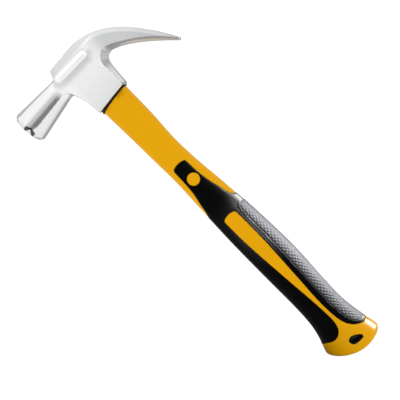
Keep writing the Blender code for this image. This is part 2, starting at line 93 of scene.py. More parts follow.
# Cheeks, crown and skirt
CROWN_HEIGHT = 15.6
HALF_WIDTHS = (
    (42.0, 8.8), (45.0, 10.6), (50.0, 12.2), (56.0, 12.5), (76.0, 12.5), (90.0, 11.6), (105.0, 11.8),
    (120.0, 12.8), (135.0, 13.9),
)
SKIRT_FRONT = (50.9, -35.8)
SKIRT_REAR = (80.0, -34.9)
EDGE_RADIUS = 0.9
CHEEK_STEEPNESS = 0.95  # of the field across the cheek
JOIN_RADIUS = 5.0
RIB_START = (48.6, 5.9)
RIB_END = (75.4, 3.8)
RIB_HALF_WIDTH = 3.1
RIB_EDGE = 1.6
RIB_HEIGHT = 0.8
RIB_SKIRT_HEIGHT = 0.8
RIB_SKIRT_WIDTH = 9.0

# Claw: cubic Bezier outlines of its top and its underside, from the root to the tip
CLAW_TOP = ((65.5, 14.7), (97.5, 19.6), (120.1, -9.0), (134.6, -43.5))
CLAW_UNDER = ((83.5, -8.3), (99.2, -7.3), (117.0, -26.8), (133.3, -45.3))
BEZIER_POINTS = 60
CLAW_JOIN_RADIUS = 3.0
SLOT_END = 98.5
SLOT_END_HALF_WIDTH = 1.0
SLOT_SPREAD = 0.0966  # half width gained for each millimetre towards the tips
SLOT_BEVEL_DEPTH = 2.5
SLOT_BEVEL_SLOPE = 0.35
SLOT_EDGE_RADIUS = 0.4

# Bevels along the top of the crown and the claw, and along the throat and the claw's underside
TOP_BEVEL_DEPTH = ((48.0, 6.2), (75.0, 6.0), (100.0, 3.6), (135.0, 2.8))
TOP_BEVEL_SLOPE = ((48.0, 0.36), (75.0, 0.40), (100.0, 0.75), (135.0, 0.70))
UNDER_BEVEL_DEPTH = ((86.0, 4.9), (92.0, 4.6), (98.0, 3.7), (104.0, 3.1), (120.0, 3.4), (135.0, 2.4))
UNDER_BEVEL_SLOPE = ((86.0, 1.8), (92.0, 1.8), (98.0, 2.4), (104.0, 3.4))
UNDER_BEVEL_CURVE = ((86.0, 0.1), (92.0, 0.1), (104.0, 0.0))
UNDER_BEVEL_TAPER = ((-34.9, 0.35), (-26.0, 0.45), (-18.0, 0.62), (-12.0, 0.95), (-10.0, 1.0))
UNDER_LIP_DEPTH = ((75.0, 0.0), (92.0, 0.0), (104.0, 1.4), (120.0, 1.7), (135.0, 1.0))
UNDER_LIP_SLOPE = 1.0
UNDER_BEVEL_START = 70.0
FRONT_BEVEL_DEPTH = 0.7
FRONT_BEVEL_SLOPE = 4.0
FRONT_BEVEL_TOP = -9.0
BEVEL_RADIUS = 0.3
NO_CUT = -10.0

# Eye, as half sizes at three distances down the handle
EYE_CENTRE = -2.1
EYE_SECTIONS = ((-20.0, 12.8, 9.1), (5.0, 11.6, 8.2), (36.0, 13.1, 9.3))
EYE_POWER = 2.2
EYE_EDGE_RADIUS = 0.6

# ---- Handle, in metres ----

# The CAD's core rod, which gives the handle's frame
CORE_CENTRE = -0.0015
CORE_TOP = -0.0160

# Outline: (down, x) of the front edge and of the rear edge, and (down, half thickness)
FRONT_EDGE = (
    (0.030, -0.0163), (0.060, -0.0150), (0.090, -0.0140), (0.115, -0.0133), (0.145, -0.0140),
    (0.180, -0.0147), (0.215, -0.0145), (0.250, -0.0140), (0.268, -0.0148), (0.280, -0.0172),
    (0.290, -0.0210), (0.298, -0.0225), (0.315, -0.0234),
)
REAR_EDGE = (
    (0.030, 0.0111), (0.060, 0.0111), (0.088, 0.0100), (0.110, 0.0110), (0.140, 0.0140),
    (0.175, 0.0167), (0.215, 0.0183), (0.250, 0.0170), (0.268, 0.0169), (0.285, 0.0190),
    (0.300, 0.0226), (0.315, 0.0240),
)
HALF_THICKNESS = (
    (0.030, 0.0103), (0.100, 0.0100), (0.150, 0.0117), (0.215, 0.0128), (0.260, 0.0122),
    (0.290, 0.0138), (0.315, 0.0143),
)
SECTION_POWER = 2.35  # 2 is an ellipse, and more is squarer
SECTION_POINTS = 144
TYPICAL_SECTION = (0.0165, 0.0120)  # half sizes
STATION_STEP = 0.0007
JACKET_START = 0.0375
BUTT_END = 0.3090
BUTT_LOW_X = 0.0080
BUTT_CURVATURE = 15.8
BUTT_CURVE_START = 0.260
BUTT_EDGE_RADIUS = 0.0034

# Seal under the skirt
SEAL_CENTRE = -0.0026
SEAL_HALF_SIZE = (0.0143, 0.0108)
SEAL_OPENING = (0.0100, 0.0078)  # half sizes too
SEAL_BULGE = 0.0004
SEAL_POINTS = 96
SEAL_LEVELS = 9
SEAL_FRONT_HEIGHT = 0.0019
SEAL_REAR_HEIGHT = 0.0006

# Grip: its depth in the jacket, and its outline, as (x, down) along each smooth stretch
GAP = 0.0003
GRIP_DEPTH = 0.0025
RECESS_START = 0.0900
RECESS_END = BUTT_END - 2 * BUTT_EDGE_RADIUS
GRIP_PROUD = 0.00025
EDGE_DROP = 0.00045
EDGE_ROLL = 0.0010
JACKET_EDGE_SHARE = 0.6  # how far the jacket's edge drops beside the grip, over EDGE_DROP
OUTSIDE = 0.032  # beyond both edges of the handle
TONGUE_TOP = ((-0.0075, 0.1082), (-0.0064, 0.1060), (-0.0008, 0.1049), (0.0045, 0.1060), (0.0055, 0.1081))
TONGUE_REAR = ((0.0055, 0.1081), (0.0064, 0.1222), (0.0097, 0.1381), (0.0151, 0.1525), (OUTSIDE, 0.1530))
REAR_TOE = (
    (OUTSIDE, 0.2925), (0.0205, 0.2927), (0.0172, 0.2931), (0.0103, 0.2882), (0.0057, 0.2783),
    (0.0042, 0.2586), (0.0053, 0.2319), (0.0067, 0.1944), (0.0064, 0.1638),
)
WINDOW_TOP = ((0.0064, 0.1638), (0.0053, 0.1616), (0.0002, 0.1605), (-0.0050, 0.1616), (-0.0062, 0.1638))
FRONT_TOE = (
    (-0.0062, 0.1638), (-0.0053, 0.1895), (-0.0019, 0.2289), (0.0008, 0.2586), (0.0016, 0.2772),
    (-0.0015, 0.2856), (-0.0084, 0.2884), (-0.0178, 0.2854), (-OUTSIDE, 0.2840),
)
TONGUE_FRONT = (
    (-OUTSIDE, 0.1530), (-0.0149, 0.1515), (-0.0104, 0.1391), (-0.0080, 0.1262), (-0.0075, 0.1082),
)
BUTTON_CENTRE = (-0.0002, 0.1218)
BUTTON_RADIUS = 0.0052

# Rear pad: (down, x) of its border, its knurl, and the bead on the grip round it
PAD_BORDER = (
    (0.1599, 0.0131), (0.1611, 0.0116), (0.1638, 0.0109), (0.1697, 0.0105), (0.2043, 0.0108),
    (0.2468, 0.0092), (0.2666, 0.0092), (0.2804, 0.0109), (0.2874, 0.0135), (0.2900, 0.0160),
    (0.2914, 0.0185),
)
PAD_BORDER_POINTS = 61
PAD_END_WIDTH = 0.006  # from the border to the pad's flat end
PAD_END_POINTS = 6
PAD_DEPTH = 0.0013
PAD_FLOOR_START = 0.1400
PAD_ROW_STEP = 0.00036
PAD_COLUMNS = 120
PAD_SHARP_ANGLE = math.radians(70)
KNURL_PITCH = 0.0030
KNURL_HEIGHT = 0.00032
KNURL_STEEPNESS = 2.0  # how soon a diamond reaches its flat top
PAD_EDGE_DROP = 0.00005
KNURL_STRETCH = 1.25  # a diamond's length along the handle over its width
KNURL_FADE = (0.0003, 0.0012)  # distances from the pad's edge
BEAD_OFFSET = 0.0008
BEAD_HALF_WIDTH = 0.00065
BEAD_HEIGHT = 0.00048
BEAD_CROSSING = (0.65, 0.92)  # where it fades on its way round the back, as shares of the rear edge's x

# Hang hole
HANG_HOLE = (
    (-0.0008, 0.2974), (0.0010, 0.2951), (0.0050, 0.2952), (0.0101, 0.2987), (0.0092, 0.3014),
    (0.0016, 0.3009),
)
LINER_WALL = 0.0009
LINER_WAIST = 0.0008
LINER_LIP = 0.6  # how much of the wall its rim's flare takes
LINER_LIP_START = 0.9
LINER_INNER_LENGTH = 0.997  # over the outer length
LINER_LEVELS = 17

CURVE_STEPS = 10  # points on an outline between two of its control points
CIRCLE_POINTS = 64

# Steel
CHEEK_COLOUR = (0.955, 0.96, 0.965)
CLAW_AND_FACE_PAINTED_SHADE = (0.70, 0.705, 0.71)  # painted shade on the claw and along the top, and on the striking face
# painted shade towards the claw's tips
TIP_PAINTED_SHADE = (0.56, 0.565, 0.57)
POLL_COLOUR = (0.82, 0.825, 0.83)
# painted shade towards the bottom of the cheek
SKIRT_PAINTED_SHADE = (0.86, 0.865, 0.87)
# painted shade in the hollow round the rib
HOLLOW_PAINTED_SHADE = (0.74, 0.745, 0.75)
# painted highlight along the rib
RIB_PAINTED_HIGHLIGHT = (0.99, 0.99, 0.99)
MOTTLE = 0.03
WALL_ROUGHNESS = 0.22  # of what faces sideways
# A painted dark reflection on the rim's chamfer
RIM_MARK_CENTRE = -2.9
RIM_MARK_DEPTH = 4.9
RIM_MARK_SLOPE = 0.95
RIM_MARK_SPREAD = 0.6
RIM_PAINTED_REFLECTION = (0.08, 0.08, 0.085)

# ---- Studio ----

CAMERA_TARGET = (-0.0096, 0.1369)  # in the handle's frame, as (x, down)
CAMERA_DISTANCE = 1.0
CAMERA_WIDTH = 0.3155  # what the picture shows at that distance
CAMERA_TILT = math.radians(9.2)  # towards the claw side
CAMERA_PITCH = math.radians(0.5)  # towards the butt
HANDLE_ANGLE = math.radians(46.25)  # of the handle below the picture's horizontal
DIFFUSE_STRENGTH = 1.0
REFLECTED_STRENGTH = 1.16
REFLECTED = (  # (a direction, cosines of two angles from it, the brightness at each)
    ((0.03, -0.21, 0.98), 0.972, 0.986, 1.0, 0.28),
    ((0.03, -0.05, 1.00), 0.900, 0.978, 1.0, 0.58),
    ((0.0, -1.0, 0.15), 0.35, 0.75, 1.0, 0.90),
    ((0.0, 0.56, -0.83), 0.715, 0.850, 1.0, 0.52),
    ((-0.22, -0.30, -0.93), 0.68, 0.90, 1.0, 0.42),
    ((0.94, 0.0, -0.34), 0.80, 0.95, 1.0, 0.65),
    ((0.577, -0.577, -0.577), 0.68, 0.85, 1.0, 0.52),
    ((1.0, 0.0, 0.0), -0.80, 0.30, 0.80, 1.0),
)
# Panels of light: (name, the piece each is for, place, target, size, power, colour)
WHITE = (1.0, 1.0, 1.0)
PAD_LIGHT = (0.94, 0.96, 1.0)
BUTT_LIGHT = (1.0, 0.82, 0.76)
PANELS = (
    ("grip_strip", "grip", (0.160, 0.208, -0.045), (0.0, 0.215, 0.0), (0.180, 0.170), 14.0, WHITE),
    ("pad_upper", "pad", (0.160, 0.168, 0.008), (0.0, 0.180, 0.0), (0.120, 0.110), 3.9, PAD_LIGHT),
    ("pad_lower", "pad", (0.160, 0.272, -0.028), (0.0, 0.260, 0.0), (0.120, 0.110), 2.3, PAD_LIGHT),
    ("butt_panel", "jacket", (0.159, 0.292, -0.022), (0.02, 0.30, 0.007), (0.075, 0.090), 4.7, BUTT_LIGHT),
)
SPOT_PLACE = (0.120, 0.195, 0.110)
SPOT_TARGET = (0.013, 0.184, 0.012)
SPOT_CONE = math.radians(15)
SPOT_SIZE = 0.02
SPOT_POWER = 75.0

# Floor, and a black card beside the butt
FLOOR_HALF_SIZE = 3.0
FLOOR_GAP = 0.0005
FLOOR_GLOW = 1.05
CARD_X = -0.0275
CARD_SPAN = (0.275, 0.330)
CARD_BOTTOM = -0.013
CARD_TOP = 0.055


# ---- Curves and outlines ----


def interpolate(points, at):
    """The value at `at` of the smooth curve through (position, value) points."""
    last = len(points) - 2
    i = max(0, min(last, sum(at >= p[0] for p in points) - 1))

    def slope(k):
        before, after = points[max(k - 1, 0)], points[min(k + 1, last + 1)]
        return (after[1] - before[1]) / (after[0] - before[0])

    (x0, y0), (x1, y1) = points[i], points[i + 1]
    span = x1 - x0
    t = max(0.0, min(1.0, (at - x0) / span))
    rise = (2 * t**3 - 3 * t**2 + 1) * y0 + (3 * t**2 - 2 * t**3) * y1
    return rise + span * ((t**3 - 2 * t**2 + t) * slope(i) + (t**3 - t**2) * slope(i + 1))


def smooth_stretch(points):
    """Points on the Catmull-Rom curve through these 2D points, without the last one."""
    points = [Vector(p) for p in points]
    ends = [2 * points[0] - points[1], *points, 2 * points[-1] - points[-2]]
    made = []
    for a, b, c, d in zip(ends, ends[1:], ends[2:], ends[3:]):
        for k in range(CURVE_STEPS):
            t = k / CURVE_STEPS
            squared, cubed = 2 * a - 5 * b + 4 * c - d, 3 * b - a - 3 * c + d
            made.append((2 * b + (c - a) * t + squared * t**2 + cubed * t**3) / 2)
    return made


def bezier(points):
    """Points along a cubic Bezier curve, as an array."""
    a, b, c, d = (np.array(p) for p in points)
    t = np.linspace(0, 1, BEZIER_POINTS)[:, None]
    s = 1 - t
    return s**3 * a + 3 * s * s * t * b + 3 * s * t * t * c + t**3 * d


def grown(outline, distance):
    """A closed counter-clockwise outline moved outwards by a distance."""
    made = []
    for before, here, after in zip(outline[-1:] + outline[:-1], outline, outline[1:] + outline[:1]):
        way = ((here - before).normalized() + (after - here).normalized()).normalized()
        made.append(here + distance * Vector((way.y, -way.x)))
    return made


def on_handle(points):
    """(x, down) points as a counter-clockwise outline in the handle's frame."""
    made = [Vector((p[0], -p[1])) for p in points]
    area = sum(a.x * b.y - b.x * a.y for a, b in zip(made, made[1:] + made[:1]))
    return made if area > 0 else made[::-1]


def line_distance(x, y, points, closed=False):
    """The distance of each (x, y) from a line through points."""
    nearest = np.full(np.broadcast(x, y).shape, np.inf)
    for (ax, ay), (bx, by) in zip(points, [*points[1:], *points[:1]] if closed else points[1:]):
        dx, dy = bx - ax, by - ay
        t = np.clip(((x - ax) * dx + (y - ay) * dy) / max(dx * dx + dy * dy, 1e-18), 0, 1)
        nearest = np.minimum(nearest, (x - ax - t * dx) ** 2 + (y - ay - t * dy) ** 2)
    return np.sqrt(nearest)


def inside_outline(x, y, points):
    """Whether each (x, y) is inside a closed outline."""
    inside = np.zeros(np.broadcast(x, y).shape, bool)
    for (ax, ay), (bx, by) in zip(points, [*points[1:], *points[:1]]):
        if ay != by:
            crosses = (ay > y) != (by > y)
            inside = inside ^ (crosses & (x < ax + (bx - ax) * (y - ay) / (by - ay)))
    return inside


def outline_distance(x, y, points):
    """The distance of each (x, y) from a closed outline, negative inside it."""
    distance = line_distance(x, y, points, closed=True)
    return np.where(inside_outline(x, y, points), -distance, distance)


# ---- Meshes ----


def add_object(name, data):
    made = bpy.data.objects.new(name, data)
    bpy.context.scene.collection.objects.link(made)
    return made


def close(mesh, weld=False):
    """Turns a closed mesh's faces outwards, after welding faces that are loose."""
    shape = bmesh.new()
    shape.from_mesh(mesh)
    if weld:
        bmesh.ops.remove_doubles(shape, verts=shape.verts, dist=WELD_DISTANCE)
    bmesh.ops.recalc_face_normals(shape, faces=shape.faces)
    shape.to_mesh(mesh)
    shape.free()


def shade(mesh, sharp_angle=SHARP_ANGLE):
    mesh.shade_smooth()
    mesh.set_sharp_from_angle(angle=sharp_angle)


def mesh_piece(name, vertices, faces, matrix=Matrix(), sharp_angle=SHARP_ANGLE):
    """A smooth-shaded object from arrays of vertices and faces."""
    mesh = bpy.data.meshes.new(name)
    mesh.from_pydata([tuple(v) for v in vertices], [], [tuple(f) for f in faces])
    mesh.transform(matrix)
    close(mesh)
    shade(mesh, sharp_angle)
    return add_object(name, mesh)


def tube(name, rings, capped=True):
    """A solid through closed rings in the handle's frame, or a sleeve whose last ring meets the first."""
    number = np.arange(len(rings) * len(rings[0])).reshape(len(rings), -1)
    rows = number if capped else np.vstack([number, number[:1]])
    turned = np.roll(rows, -1, 1)
    faces = list(np.stack([rows[:-1], turned[:-1], turned[1:], rows[1:]], -1).reshape(-1, 4))
    if capped:
        faces += [number[0], number[-1]]
    return mesh_piece(name, np.concatenate(rings), faces, HANDLE)


def evaluated_mesh(made):
    graph = bpy.context.evaluated_depsgraph_get()
    return bpy.data.meshes.new_from_object(made.evaluated_get(graph))


def plate(name, outline, holes=()):
    """A cutter: an outline in the handle's side view, as a plate thicker than the handle."""
    curve = bpy.data.curves.new(name, "CURVE")
    curve.dimensions = "2D"
    curve.fill_mode = "BOTH"
    curve.extrude = 2 * OUTSIDE
    for points in (outline, *holes):
        spline = curve.splines.new("POLY")
        spline.points.add(len(points) - 1)
        spline.points.foreach_set("co", [c for p in points for c in (*p, 0.0, 1.0)])
        spline.use_cyclic_u = True
    drawn = add_object(name, curve)
    mesh = evaluated_mesh(drawn)
    bpy.data.objects.remove(drawn)
    close(mesh, weld=True)
    mesh.transform(HANDLE)
    return add_object(name, mesh)


def combine(piece, other, operation):
    """Joins, cuts or crosses two solids, and removes the second."""
    modifier = piece.modifiers.new(other.name, "BOOLEAN")
    modifier.operation = operation
    modifier.object = other
    modifier.solver = "MANIFOLD"
    mesh = evaluated_mesh(piece)
    piece.modifiers.clear()
    piece.data = mesh
    bpy.data.objects.remove(other)
    shade(mesh)


# ---- Head ----


def rounded_max(a, b, radius):
    """The larger of two fields, with the corner between them rounded."""
    overlap = np.clip(radius - np.abs(a - b), 0, None)
    return np.maximum(a, b) + overlap * overlap / (4 * radius)


def rounded_min(a, b, radius):
    return -rounded_max(-a, -b, radius)


def along(points, x):
    """Smooth interpolation of (x, value) points over an array."""
    table = np.linspace(points[0][0], points[-1][0], 200)
    values = [interpolate(points, at) for at in table]
    return np.interp(x, table, values)


def poll_field(x, y, z):
    y = np.abs(y - POLL_RISE - NECK_RISE * x / NECK_END)
    z = np.abs(z)
    share = (x - BELL[0]) / (NECK[0] - BELL[0])
    flat, half_width = (a + (b - a) * share for a, b in zip(BELL[1:], NECK[1:]))
    diagonal = (flat + half_width) / math.sqrt(2)
    bulged = np.maximum(y + z * z / (2 * SIDE_CURVE_RADIUS), z + y * y / (2 * FLAT_CURVE_RADIUS))
    faceted = np.maximum(bulged - flat, (y + z) / math.sqrt(2) - diagonal)
    radius = np.hypot(y, z)
    slope = (RIM_RADIUS - FACE_RADIUS) / RIM_DEPTH
    rim = (radius - FACE_RADIUS - slope * x) / math.hypot(1, slope)
    solid = rounded_max(rounded_max(faceted, radius - RIM_RADIUS, BELL_EDGE_RADIUS), rim, RIM_EDGE_RADIUS)
    return np.maximum(np.maximum(solid, -x), x - NECK_END)


def cheek_outline():
    """Side view of the crown, the cheek, the throat and the skirt, up to inside the claw's root."""
    crown = ((48.1, CROWN_HEIGHT), (59.5, CROWN_HEIGHT), (69.5, 14.9), (79.5, 12.8), (89.5, 5.5))
    root = ((89.5, 5.5), (92.5, -0.5), (91.0, -8.1))
    throat = ((91.0, -8.3), (88.4, -9.7), (85.4, -12.6), (83.6, -17.0), (82.0, -26.0), (80.9, -33.7))
    throat = (*throat, SKIRT_REAR)
    skirt = (SKIRT_REAR, SKIRT_FRONT)
    front = (SKIRT_FRONT, (49.9, -34.8), (49.3, -22.5), (48.2, -16.4), (46.6, -11.5), (45.4, -6.0))
    shoulder = ((45.4, -6.0), (44.6, 0.0), (44.8, 7.0), (46.4, 11.9), (48.1, CROWN_HEIGHT))
    stretches = (crown, root, throat, skirt, front, shoulder)
    return [p for stretch in stretches for p in smooth_stretch(stretch)]


def from_rib(x, y):
    """How far along the rib's middle line and how far above it a place is, and the line's length."""
    start, end = Vector(RIB_START), Vector(RIB_END)
    way = (end - start).normalized()
    from_x, from_y = x - start.x, y - start.y
    return from_x * way.x + from_y * way.y, from_y * way.x - from_x * way.y, (end - start).length


def rib_height(x, y):
    """The raised bar on the cheek, and the slope below it."""
    run, across, length = from_rib(x, y)
    beyond = np.maximum(np.maximum(-run, run - length), 0)
    reach = np.hypot(beyond, across)
    bar = 1 - smoothstep(RIB_HALF_WIDTH - RIB_EDGE, RIB_HALF_WIDTH + 0.4, reach)
    below = np.clip(-across / RIB_SKIRT_WIDTH, 0, 1)
    slope = (1 - below) * (1 - smoothstep(0.2, 1.6, across)) * (1 - smoothstep(1.0, 5.0, beyond))
    return RIB_HEIGHT * bar + RIB_SKIRT_HEIGHT * slope


def smoothstep(low, high, x):
    t = np.clip((x - low) / (high - low), 0, 1)
    return t * t * (3 - 2 * t)


def body_field(x, y, z):
    """The cheeks, the crown, the skirt and the claw: a side view given its width."""
    top, under = bezier(CLAW_TOP), bezier(CLAW_UNDER)
    outline = cheek_outline()
    claw = outline_distance(x, y, np.concatenate([top, under[::-1]]))
    side = rounded_min(outline_distance(x, y, outline), claw, CLAW_JOIN_RADIUS)
    z = np.abs(z)
    crown = [(40.0, CROWN_HEIGHT), (59.5, CROWN_HEIGHT), (66.0, CROWN_HEIGHT - 0.3)]
    depth = line_distance(x, y, crown + [p for p in top if p[0] > 70.0])
    width = along(HALF_WIDTHS, x)
    top_cut = along(TOP_BEVEL_SLOPE, x) * np.clip(along(TOP_BEVEL_DEPTH, x) - depth, 0, None)
    cheek = (z - (width + rib_height(x, y) - top_cut)) * CHEEK_STEEPNESS
    solid = rounded_max(side, cheek, EDGE_RADIUS)
    # The throat and the claw's underside: a bevel, steeper towards its edge, and a lip below it
    throat = [p for p in outline[::-1] if p[0] > 80.0 and p[1] < -9.0]
    low = line_distance(x, y, throat + [p for p in under if p[0] > 90.0])
    taper = np.where(x < 95.0, along(UNDER_BEVEL_TAPER, y), 1.0)
    lip, slope = along(UNDER_LIP_DEPTH, x), along(UNDER_BEVEL_SLOPE, x) / taper
    within = along(UNDER_BEVEL_DEPTH, x) * taper - np.maximum(low, lip)
    curve = along(UNDER_BEVEL_CURVE, x) * np.clip(within, 0, None)
    under_cut = (slope + curve) * within + UNDER_LIP_SLOPE * np.clip(lip - low, 0, None)
    slope = np.where(low < lip, UNDER_LIP_SLOPE, slope + 2 * curve)
    bevel = (z - width + under_cut) / np.hypot(1, slope)
    solid = rounded_max(solid, np.where(x > UNDER_BEVEL_START, bevel, NO_CUT), BEVEL_RADIUS)
    # The front edge
    front = line_distance(x, y, [p for p in outline if p[0] < 51.5 and p[1] < FRONT_BEVEL_TOP])
    front_cut = FRONT_BEVEL_SLOPE * (FRONT_BEVEL_DEPTH - front)
    bevel = (z - width + front_cut) / math.hypot(1, FRONT_BEVEL_SLOPE)
    solid = rounded_max(solid, bevel, BEVEL_RADIUS)
    # The slot
    beyond = x - SLOT_END
    open_half_width = SLOT_END_HALF_WIDTH + SLOT_SPREAD * np.clip(beyond, 0, None)
    open_half_width = open_half_width + SLOT_BEVEL_SLOPE * np.clip(SLOT_BEVEL_DEPTH - depth, 0, None)
    slot = np.where(beyond < 0, np.hypot(beyond, z), z) - open_half_width
    return rounded_max(solid, -slot, SLOT_EDGE_RADIUS)


def eye_field(x, y, z):
    to_handle = HANDLE.inverted()
    across, up = (x * row[0] + y * row[1] + row[3] / MM for row in to_handle[:2])
    downs, widths, heights = zip(*EYE_SECTIONS)
    half_width, half_height = np.interp(-up, downs, widths), np.interp(-up, downs, heights)
    reach = np.abs((across - EYE_CENTRE) / half_width) ** EYE_POWER + np.abs(z / half_height) ** EYE_POWER
    return (reach ** (1 / EYE_POWER) - 1) * half_height


def head_field(x, y, z):
    solid = rounded_min(body_field(x, y, z), poll_field(x, y, z), JOIN_RADIUS)
    return rounded_max(solid, -eye_field(x, y, z), EYE_EDGE_RADIUS)


def turns(array):
    """Views of a 3D grid with each of its axes first in turn, and those axes' order."""
    for order in ((0, 1, 2), (1, 2, 0), (2, 0, 1)):
        yield order, array.transpose(*order, *range(3, array.ndim))


def surface_net(field, lowest, highest, step):
    """The zero surface of a field, as vertices and quads: one vertex in each cell that it crosses."""
    lowest = np.array(lowest)
    values = field(*np.ix_(*(np.arange(lo, hi + step, step) for lo, hi in zip(lowest, highest))))
    cells = [n - 1 for n in values.shape]
    total, count = np.zeros((*cells, 3)), np.zeros(cells)
    for (order, v), (_, sums), (_, hits) in zip(turns(values), turns(total), turns(count)):
        crossed = (v[:-1] < 0) != (v[1:] < 0)
        share = np.where(crossed, v[:-1] / np.where(crossed, v[:-1] - v[1:], 1), 0)
        for du, dw in np.ndindex(2, 2):
            part = np.s_[:, du : du + hits.shape[1], dw : dw + hits.shape[2]]
            hits += crossed[part]
            for axis, reach in zip(order, (share[part], du * crossed[part], dw * crossed[part])):
                sums[..., axis] += reach
    active = count > 0
    number = np.full(cells, -1)
    number[active] = np.arange(active.sum())
    places = np.argwhere(active) + total[active] / count[active][:, None]
    quads = []
    for (_, v), (_, n) in zip(turns(values), turns(number)):
        round_edge = np.stack([n[:, :-1, :-1], n[:, 1:, :-1], n[:, 1:, 1:], n[:, :-1, 1:]], -1)
        a, b = v[:-1, 1:-1, 1:-1] < 0, v[1:, 1:-1, 1:-1] < 0
        quads += [round_edge[a & ~b], round_edge[~a & b][:, ::-1]]
    return lowest + step * settle(places, values), np.concatenate(quads)


def sample(values, at):
    """Trilinear interpolation of a grid at fractional places."""
    base = np.clip(np.floor(at).astype(int), 0, np.array(values.shape) - 2)
    t = at - base
    return sum(np.where(c, t, 1 - t).prod(1) * values[tuple((base + c).T)] for c in np.ndindex(2, 2, 2))


def settle(at, values):
    """Moves places along the field's gradient until they lie on its zero surface."""
    for _ in range(SURFACE_FIT_STEPS):
        gradient = np.stack([sample(values, at + h) - sample(values, at - h) for h in np.eye(3) / 2], 1)
        size = np.maximum((gradient**2).sum(1), 1e-6)
        move = -gradient * (sample(values, at) / size)[:, None]
        reach = np.maximum(np.abs(move).max(1), 1e-9)
        at = at + move * np.minimum(1, SURFACE_FIT_REACH / reach)[:, None]
    return at


def build_head():
    low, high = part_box("head")
    lowest = [c / MM - FIELD_MARGIN for c in low]
    highest = [c / MM + FIELD_MARGIN for c in high]
    vertices, quads = surface_net(head_field, lowest, highest, FIELD_STEP)
    return mesh_piece("head_forging", vertices * MM, quads, sharp_angle=HEAD_SHARP_ANGLE)


# ---- Handle ----


def handle_matrix():
    """The handle's frame, from the two ends of the CAD's core rod."""
    places = np.array([v.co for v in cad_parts["core_rod"].data.vertices])
    upper = places[:, 1] > places[:, 1].mean()
    top, bottom = Vector(places[upper].mean(0)), Vector(places[~upper].mean(0))
    up = (top - bottom).normalized()
    across = up.cross(Vector((0, 0, 1))).normalized()
    origin = top + up * CORE_TOP - across * CORE_CENTRE
    return Matrix.Translation(origin) @ Matrix((across, up, (0, 0, 1))).transposed().to_4x4()


def handle_point(x, down, z=0.0):
    return HANDLE @ Vector((x, -down, z))


def section_at(down, butt_share=None):
    """The front x, the rear x and the rows' bow of the handle's section at a station."""
    if butt_share is None:
        butt_share = smoothstep(BUTT_CURVE_START, BUTT_END, down)
    bow = butt_share * BUTT_CURVATURE
    front, rear = interpolate(FRONT_EDGE, down), interpolate(REAR_EDGE, down)
    for _ in range(4):
        front = interpolate(FRONT_EDGE, down - bow * (front - BUTT_LOW_X) ** 2)
        rear = interpolate(REAR_EDGE, down - bow * (rear - BUTT_LOW_X) ** 2)
    return front, rear, bow


def oval(half_width, half_height, power, angles):
    """Points of a superellipse at these angles, as two arrays."""
    c, s = np.cos(angles), np.sin(angles)
    x = np.sign(c) * np.abs(c) ** (2 / power) * half_width
    y = np.sign(s) * np.abs(s) ** (2 / power) * half_height
    return x, y


def even_angles(half_width, half_height, power, count, first=0.0, last=2 * math.pi):
    """Angles that divide a superellipse's arc into this many even steps."""
    fine = np.linspace(first, last, 6 * count)
    x, y = oval(half_width, half_height, power, fine)
    run = np.concatenate([[0], np.cumsum(np.hypot(np.diff(x), np.diff(y)))])
    return np.interp(np.linspace(0, run[-1], count + 1), run, fine)


def handle_ring(down, inset=0.0, butt_share=None, angles=None):
    """One section of the handle, as an array of points in its frame."""
    front, rear, bow = section_at(down, butt_share)
    half_width = (rear - front) / 2 - inset
    half_thickness = interpolate(HALF_THICKNESS, down) - inset
    angles = RING_ANGLES if angles is None else angles
    x, z = oval(half_width, half_thickness, SECTION_POWER, angles)
    x = (front + rear) / 2 + x
    return np.stack([x, -(down - bow * (x - BUTT_LOW_X) ** 2), z], 1)


def side_height(x, down):
    """How far the handle's side stands from its mid-plane at a place near the butt."""
    station = down
    for _ in range(6):
        station = down + section_at(station)[2] * (x - BUTT_LOW_X) ** 2
    front, rear, _ = section_at(station)
    reach = min(0.999, abs((x - (front + rear) / 2) / ((rear - front) / 2)))
    return interpolate(HALF_THICKNESS, station) * (1 - reach**SECTION_POWER) ** (1 / SECTION_POWER)


def skirt_line(x):
    """How far down the handle the skirt's lower face is, at an x of the handle's frame."""
    slope = (SKIRT_REAR[1] - SKIRT_FRONT[1]) / (SKIRT_REAR[0] - SKIRT_FRONT[0])
    origin, across, down_way = HANDLE.translation, HANDLE.col[0], -HANDLE.col[1]
    here_x, here_y = (origin.x + x * across.x) / MM, (origin.y + x * across.y) / MM
    below = here_y - SKIRT_FRONT[1] - slope * (here_x - SKIRT_FRONT[0])
    return below / (slope * down_way.x - down_way.y) * MM


def seal_bottom(x):
    share = (x - SEAL_CENTRE + SEAL_HALF_SIZE[0]) / (2 * SEAL_HALF_SIZE[0])
    height = SEAL_FRONT_HEIGHT + (SEAL_REAR_HEIGHT - SEAL_FRONT_HEIGHT) * share
    return skirt_line(x) + GAP + height


def envelope_rings(inset=0.0, first_down=None, last_down=None):
    """The handle's outer shape. Without limits it runs from the seal to the rounded butt."""
    start = first_down or JACKET_START
    end = last_down or BUTT_END - BUTT_EDGE_RADIUS
    count = round((end - start) / STATION_STEP)
    rings = [handle_ring(down, inset) for down in np.linspace(start, end, count + 1)]
    if not first_down:
        rings[0][:, 1] = -(seal_bottom(rings[0][:, 0]) + GAP)
    if not last_down:
        rings += butt_rings(inset)
    return rings


